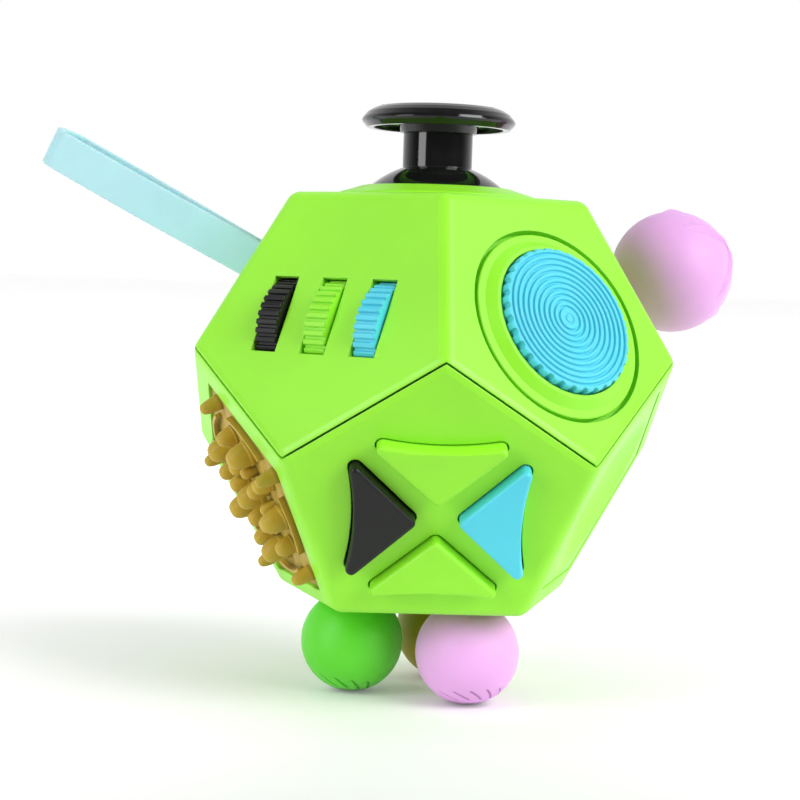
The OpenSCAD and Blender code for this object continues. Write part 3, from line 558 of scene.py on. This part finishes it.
class Solids:
    """Collects closed solids, in millimetres on one face of the body, for one mesh."""

    def __init__(self):
        self.vertices, self.faces = [], []

    def stack(self, outlines):
        """A solid through outlines that have as many points as each other."""
        first, count = len(self.vertices), len(outlines[0])
        for outline in outlines:
            self.vertices += outline
        for k in range(len(outlines) - 1):
            low, high = first + k * count, first + (k + 1) * count
            for i in range(count):
                j = (i + 1) % count
                self.faces.append((low + i, low + j, high + j, high + i))
        self.faces.append(tuple(first + i for i in reversed(range(count))))
        last = first + (len(outlines) - 1) * count
        self.faces.append(tuple(last + i for i in range(count)))

    def prism(self, outline, low, high):
        """An upright solid between two heights."""
        self.stack([[(x, y, z) for x, y in outline] for z in (low, high)])

    def lathe(self, centre, profile):
        """A round solid from (radius, height) points, low end first."""
        count = 28
        turns = [2 * math.pi * i / count for i in range(count)]
        self.stack([[(centre[0] + r * math.cos(t), centre[1] + r * math.sin(t), z) for t in turns]
                    for r, z in profile])


def at_angle(distance, degrees):
    """The point that is so far from the middle of the face, in that direction."""
    return distance * math.cos(math.radians(degrees)), distance * math.sin(math.radians(degrees))


def stud_profile(radius, low, high):
    """Bullet shape: a collar, a small step, and a nose that narrows to a blunt tip."""
    height = high - low
    collar = low + 0.42 * height
    nose = [(0.93 * radius * math.cos(math.radians(a)) ** 0.6,
             collar + (high - collar) * math.sin(math.radians(a)))
            for a in (4, 16, 28, 40, 51, 61, 70, 78, 84, 88, 89.5)]
    return [(radius, low), (radius, collar - 0.1), (0.985 * radius, collar), *nose, (0.02, high)]


def add_pad(materials):
    """The studded pad: pentagon base, five bowed ridges, and rings of bullet studs."""
    pad_shift, corner_r = -0.8, 14.9
    base_z, foot_z, rim_z = -2.2, -1.5, -0.35
    ridge_out, ridge_in, ridge_foot_z, ridge_top_z = 10.9, 10.45, rim_z - 0.2, 0.45
    solids = Solids()
    solids.prism([at_angle(corner_r, 90 + 72 * i) for i in range(5)], base_z, rim_z)
    for i in range(5):
        sweep = [54 + 72 * i + step * 2.5 for step in range(-9, 10)]
        outside = [at_angle(ridge_out, a) for a in sweep]
        inside = [at_angle(ridge_in, a) for a in reversed(sweep)]
        solids.prism(outside + inside, ridge_foot_z, ridge_top_z)
    # For each ring of five studs: distance, first direction, radius and top
    rings = ((4.1, 90, 1.25, 2.1), (7.4, 54, 1.65, 2.8), (7.9, 90, 1.25, 2.0), (4.3, 54, 1.0, 1.6),
             (12.3, 90, 1.0, 2.3))
    solids.lathe((0, 0), stud_profile(1.65, foot_z, 2.8))
    for distance, start, radius, high in rings:
        for i in range(5):
            solids.lathe(at_angle(distance, start + 72 * i), stud_profile(radius, foot_z, high))
    place = lower_face(4) @ Matrix.Translation((0, pad_shift * MM, 0))
    vertices = [place @ (Vector(v) * MM) for v in solids.vertices]
    pad = new_mesh_object("soft_pad", vertices, solids.faces, materials["yellow_silicone"])
    smooth_by_angle(pad, degrees=30)
    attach(pad, "body")
    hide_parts("massage_pad")


def add_strap(materials):
    """The pull strap, with soft round edges."""
    strap = soft_copy("soft_strap", "pull_strap", materials["mint_silicone"],
                      voxel_mm=0.14, smooth_steps=5)
    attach(strap, "strap")
    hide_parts("pull_strap")


def add_moulded_pieces(materials):
    """The arrow keys and the thumb panel, with the small round edges of moulded plastic."""
    key_voxel_mm, panel_voxel_mm = 0.09, 0.2
    pieces = (("key_up", "up_key", "lime_plastic", key_voxel_mm),
              ("key_down", "down_key", "lime_plastic", key_voxel_mm),
              ("key_left", "left_key", "black_satin", key_voxel_mm),
              ("key_right", "right_key", "cyan_plastic", key_voxel_mm),
              ("worry_panel", "body", "lime_plastic", panel_voxel_mm))
    for node, body, slot, voxel_mm in pieces:
        piece = soft_copy(f"moulded_{node}", node, materials[slot], voxel_mm, smooth_steps=4)
        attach(piece, body)
        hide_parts(node)


# ---------------------------------------------------------------- floor

def add_floor():
    """A wide sheet under the toy: white behind it, and grey towards the front.

    Its white part gives off light of its own, less of it close to the toy, so that the
    toy's shadow stays on it."""
    light_grey, lighter_grey, dark_grey = (0.80,) * 3, (0.83,) * 3, (0.32,) * 3
    look = Look("pale_floor")
    grain = look.noise(0.02, detail=3)
    split = look.add("ShaderNodeSeparateXYZ")
    look.link(look.place, split.inputs["Vector"])
    sweep = look.remap(split.outputs["Y"], -0.12, -0.03, 0.0, 1.0)
    white = look.mix(look.spread(grain), light_grey, lighter_grey)
    tone = look.mix(sweep, dark_grey, white)
    away = look.add("ShaderNodeVectorMath", operation="LENGTH")
    look.link(look.place, away.inputs[0])
    glow = look.math("MULTIPLY", sweep, look.remap(away.outputs["Value"], 0.02, 0.12, 0.12, 0.57))
    look.link(glow, look.shader.inputs["Emission Strength"])
    material = look.finish(tone, look.spread(grain, 0.55, 0.65), Specular_IOR_Level=0.2,
                           Emission_Color=(*WHITE, 1))
    half = 6.0
    corners = [(-half, -half, 0), (half, -half, 0), (half, half, 0), (-half, half, 0)]
    floor = new_mesh_object("floor", corners, [(0, 1, 2, 3)], material)


add_camera()
add_lights()
materials = make_materials()
paint_nodes(materials)
for node in frame["nodes"].values():
    smooth_by_angle(node, degrees=21)
add_balls(materials)
add_punch_ball(materials)
add_pad(materials)
add_strap(materials)
add_moulded_pieces(materials)
add_floor()
